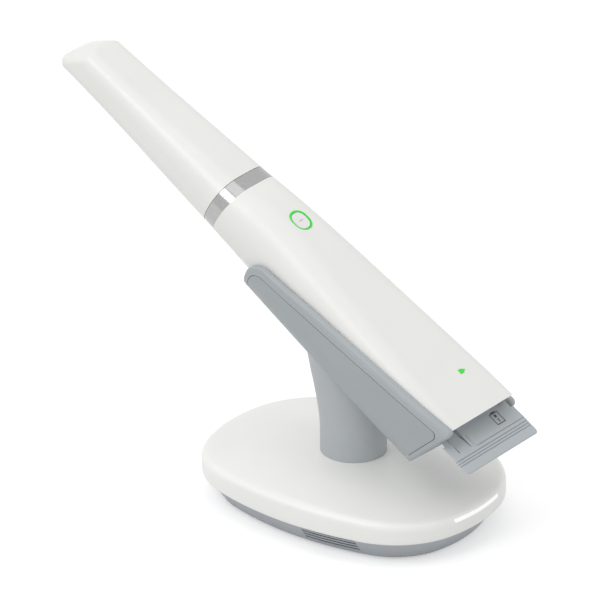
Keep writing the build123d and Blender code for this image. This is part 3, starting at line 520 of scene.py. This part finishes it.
def plate_height(x, s):
    height = PLATE_TOP
    for rib in RIBS:
        height -= RIB_DEPTH * clamped(1 - abs(s - rib) / RIB_HALF)
    if x < PANEL_SIDE and s > PANEL_AT:
        inside = panel_depth(x, s)
        height -= LINE_DEPTH * clamped(1 - abs(inside - LINE_HALF) / LINE_HALF)
        height -= DISH * smooth(inside / DISH_RUN)
    if s > SLIT_AT:
        if any(abs(x - slit) <= SLIT_HALF for slit in SLITS):
            height -= SLIT_DEPTH
        elif SLITS[0] < x < SLITS[1]:
            height -= FINGER_DIP * smooth((s - SLIT_AT) / FINGER_RUN)
    edge = min(s, plate_half(s) - abs(x))
    return height - EDGE_DEPTH * clamped(1 - edge / EDGE_WIDE) ** 2


def lines(low, high, pitch, marks):
    count = round((high - low) / pitch)
    points = [low + (high - low) * i / count for i in range(count + 1)]
    return sorted({round(v, 3) for v in points + marks})


along_marks = [*EDGE_MARKS, SHOULDER, SHOULDER + STEP, NECK_END, NECK_END + STEP]
along_marks += [SLIT_AT, SLIT_AT + SLIT_STEP]
along_marks += [rib + side * RIB_HALF for rib in RIBS for side in (-1, 0, 1)]
along_marks += [PANEL_AT + mark for mark in LINE_MARKS]
across_marks = [side * (PLATE_HALF - mark) for side in (-1, 1) for mark in EDGE_MARKS]
across_marks += [PANEL_SIDE - mark for mark in LINE_MARKS]
across_marks += [slit + side * (SLIT_HALF + step)
                 for slit in SLITS for side in (-1, 1) for step in (0, SLIT_STEP)]
rows = lines(0, PLATE_END, PITCH_ALONG, along_marks)
columns = lines(-PLATE_HALF, PLATE_HALF, PITCH_ACROSS, across_marks)

battery = bmesh.new()
tops, floors = [], []
for s in rows:
    half = plate_half(s)
    low_s = UNDERCUT_END + s * (PLATE_END - UNDERCUT_END) / PLATE_END
    top_row, floor_row = [], []
    for x in columns:
        top_x = x * half / PLATE_HALF
        low_x = x * (half - UNDERCUT_SIDE) / PLATE_HALF
        top_row.append(battery.verts.new(hand_point(top_x, plate_height(top_x, s), s)))
        floor_row.append(battery.verts.new(hand_point(low_x, PLATE_TOP - PLATE_THICK, low_s)))
    tops.append(top_row)
    floors.append(floor_row)
last_row, last_column = len(rows) - 1, len(columns) - 1
for grid in (tops, floors):
    for i in range(last_row):
        for j in range(last_column):
            corners = (grid[i][j], grid[i][j + 1], grid[i + 1][j + 1], grid[i + 1][j])
            battery.faces.new(corners)
border = [(0, j) for j in range(last_column)] + [(i, last_column) for i in range(last_row)]
border += [(last_row, j) for j in range(last_column, 0, -1)]
border += [(i, 0) for i in range(last_row, 0, -1)]
for (i, j), (k, m) in zip(border, border[1:] + border[:1]):
    battery.faces.new((tops[i][j], tops[k][m], floors[k][m], floors[i][j]))

# The block's rings, as place along and inset: the first two slant as the sleeve's mouth does
BLOCK_WIDTH, BLOCK_HEIGHT, BLOCK_MID, BLOCK_CORNER = 37.4, 19.2, 2.6, 4.0
MOUTH_RINGS = ((18.7, 0.4), (19.1, 0.0))
BLOCK_RINGS = ((44.0, 0.0), (44.3, 0.25), (44.7, 0.25), (45.0, 0.0), (67.3, 0.0), (68.0, 0.6))
ARC_STEPS = 6


def block_section(inset):
    points = []
    radius = BLOCK_CORNER - inset
    for quarter, (side_x, side_h) in enumerate(((1, 1), (-1, 1), (-1, -1), (1, -1))):
        mid_x = side_x * (BLOCK_WIDTH / 2 - BLOCK_CORNER)
        mid_height = BLOCK_MID + side_h * (BLOCK_HEIGHT / 2 - BLOCK_CORNER)
        for k in range(ARC_STEPS + 1):
            turn = math.radians(90 * (quarter + k / ARC_STEPS))
            points.append((mid_x + radius * math.cos(turn), mid_height + radius * math.sin(turn)))
    return points


rings = []
for group, slant in ((MOUTH_RINGS, MOUTH_SLANT), (BLOCK_RINGS, 0.0)):
    for s, inset in group:
        places = [hand_point(x, height, s + slant * (SLEEVE_TOP - height))
                  for x, height in block_section(inset)]
        rings.append([battery.verts.new(place) for place in places])
for ring, after in zip(rings, rings[1:]):
    for k in range(len(ring)):
        m = (k + 1) % len(ring)
        battery.faces.new((ring[k], ring[m], after[m], after[k]))
battery.faces.new(rings[0])
battery.faces.new(rings[-1])
shown("battery_case", battery, BATTERY, "battery_grey", "battery", "battery_pack")


# Printed signs: thin plates on the battery's panel and on the button

PRINT = 0.04
STROKE = 0.5
SIGN_LEFT, SIGN_RIGHT, SIGN_LOW, SIGN_HIGH = -15.6, -9.8, 12.3, 18.5
CAP_LEFT, CAP_RIGHT, CAP_HIGH = -14.2, -11.2, 0.6
DOT = (-12.7, 16.7, 0.85)
DASH = (-13.05, -12.35, 13.4, 15.2)
BUTTON_STROKE = (-1.3, 1.3, 137.8, 138.2)


def plates(name, shapes, place, mat, slot, body):
    """Flat shapes, each a list of (across, along) corners, set on a surface by place."""
    bm = bmesh.new()
    for shape in shapes:
        bm.faces.new([bm.verts.new(place(x, s)) for x, s in shape])
    shown(name, bm, mat, slot, body)


def divided(low, high, count):
    return [low + (high - low) * i / count for i in range(count + 1)]


def bar(x0, x1, s0, s1, count=6):
    """A narrow rectangle, divided along its length so that it follows a curved surface."""
    wide = x1 - x0 > s1 - s0
    xs = divided(x0, x1, count if wide else 1)
    ss = divided(s0, s1, 1 if wide else count)
    return [[(a, c), (b, c), (b, d), (a, d)]
            for a, b in zip(xs, xs[1:]) for c, d in zip(ss, ss[1:])]


def disc(x, s, radius, count=20):
    turns = [2 * math.pi * i / count for i in range(count)]
    return [[(x + radius * math.cos(a), s + radius * math.sin(a)) for a in turns]]


def on_panel(x, s):
    return hand_point(x, plate_height(x, s) + PRINT, s)


def on_button(x, s):
    return hand_point(x, SLEEVE_TOP + PRINT, s)


sign = bar(SIGN_LEFT, SIGN_RIGHT, SIGN_LOW, SIGN_LOW + STROKE)
sign += bar(SIGN_LEFT, SIGN_RIGHT, SIGN_HIGH - STROKE, SIGN_HIGH)
sign += bar(SIGN_LEFT, SIGN_LEFT + STROKE, SIGN_LOW, SIGN_HIGH)
sign += bar(SIGN_RIGHT - STROKE, SIGN_RIGHT, SIGN_LOW, SIGN_HIGH)
sign += bar(CAP_LEFT, CAP_RIGHT, SIGN_HIGH, SIGN_HIGH + CAP_HIGH)
sign += disc(*DOT) + bar(*DASH)
plates("battery_sign", sign, on_panel, INK, "black_plastic", "battery")
plates("button_sign", bar(*BUTTON_STROKE), on_button, PALE_INK, "black_plastic", "button")


# Camera: the photograph's view, from far off with a long lens

scene = bpy.context.scene
scene.view_settings.view_transform = "Standard"

TOWARD = Vector((0.5465, -0.7116, 0.4415)).normalized()
TARGET = Vector((-0.0301, 0, 0.0916))
DISTANCE = 3.7025
RIGHT = Vector((0.793, 0.609, 0))
UP = TOWARD.cross(RIGHT)

camera = bpy.data.objects.new("camera", bpy.data.cameras.new("camera"))
camera.data.lens = 500
camera.data.sensor_width = 36
camera.data.clip_end = 20
camera.location = TARGET + TOWARD * DISTANCE
camera.rotation_euler = (-TOWARD).to_track_quat("-Z", "Y").to_euler()
scene.collection.objects.link(camera)
scene.camera = camera

# Lights: four softboxes, placed by the camera's own axes, under a pale sky

LAMP_DISTANCE = 2.5


def softbox(name, right, up, toward, size, power):
    """A round lamp, size metres wide, that lies the given way from the target."""
    way = (RIGHT * right + UP * up + TOWARD * toward).normalized()
    lamp = bpy.data.objects.new(name, bpy.data.lights.new(name, "AREA"))
    lamp.data.shape = "DISK"
    lamp.data.size = size
    lamp.data.energy = power
    lamp.location = TARGET + way * LAMP_DISTANCE
    lamp.rotation_euler = (-way).to_track_quat("-Z", "Y").to_euler()
    scene.collection.objects.link(lamp)


softbox("key", -0.41, 0.48, 0.775, 1.1, 11)
softbox("side", -0.7, 0.75, 0.5, 1.9, 5)
softbox("top", 0.0, 0.897, 0.4415, 1.9, 5)
softbox("fill", 0.8, 0.35, 0.6, 2.5, 2.4)


def background_level(tree, plain, seen):
    """One level for most rays, and another for the camera's, glossy and transmitted ones."""
    path = tree.nodes.new("ShaderNodeLightPath")
    found = path.outputs["Is Camera Ray"]
    for kind in ("Is Glossy Ray", "Is Transmission Ray"):
        either = tree.nodes.new("ShaderNodeMath")
        either.operation = "MAXIMUM"
        tree.links.new(found, either.inputs[0])
        tree.links.new(path.outputs[kind], either.inputs[1])
        found = either.outputs["Value"]
    level = tree.nodes.new("ShaderNodeMapRange")
    level.inputs["To Min"].default_value = plain
    level.inputs["To Max"].default_value = seen
    tree.links.new(found, level.inputs["Value"])
    return level.outputs["Result"]


SKY_LIGHT, SKY_SEEN = 0.76, 1.0
FLOOR_HALF, FLOOR_TONE, FLOOR_GLOW = 3.0, 0.72, 0.44

world = bpy.data.worlds.new("studio")
scene.world = world
world.use_nodes = True
sky = world.node_tree
back = sky.nodes["Background"]
back.inputs["Color"].default_value = (1, 1, 1, 1)
sky.links.new(background_level(sky, SKY_LIGHT, SKY_SEEN), back.inputs["Strength"])

# Floor: pale, white where it is seen, with the object's shadow

floor_mesh = bpy.data.meshes.new("floor")
outline = [(x * FLOOR_HALF, y * FLOOR_HALF, 0) for x, y in ((-1, -1), (1, -1), (1, 1), (-1, 1))]
floor_mesh.from_pydata(outline, [], [(0, 1, 2, 3)])
floor = bpy.data.objects.new("floor", floor_mesh)
scene.collection.objects.link(floor)
floor_mat, tree, shader = fresh("floor")
tree.nodes.remove(shader)
plain = tree.nodes.new("ShaderNodeBsdfDiffuse")
plain.inputs["Color"].default_value = (FLOOR_TONE, FLOOR_TONE, FLOOR_TONE, 1)
glow = tree.nodes.new("ShaderNodeEmission")
tree.links.new(background_level(tree, 0.0, FLOOR_GLOW), glow.inputs["Strength"])
both = tree.nodes.new("ShaderNodeAddShader")
tree.links.new(plain.outputs["BSDF"], both.inputs[0])
tree.links.new(glow.outputs["Emission"], both.inputs[1])
tree.links.new(both.outputs["Shader"], tree.nodes["Material Output"].inputs["Surface"])
floor_mesh.materials.append(floor_mat)
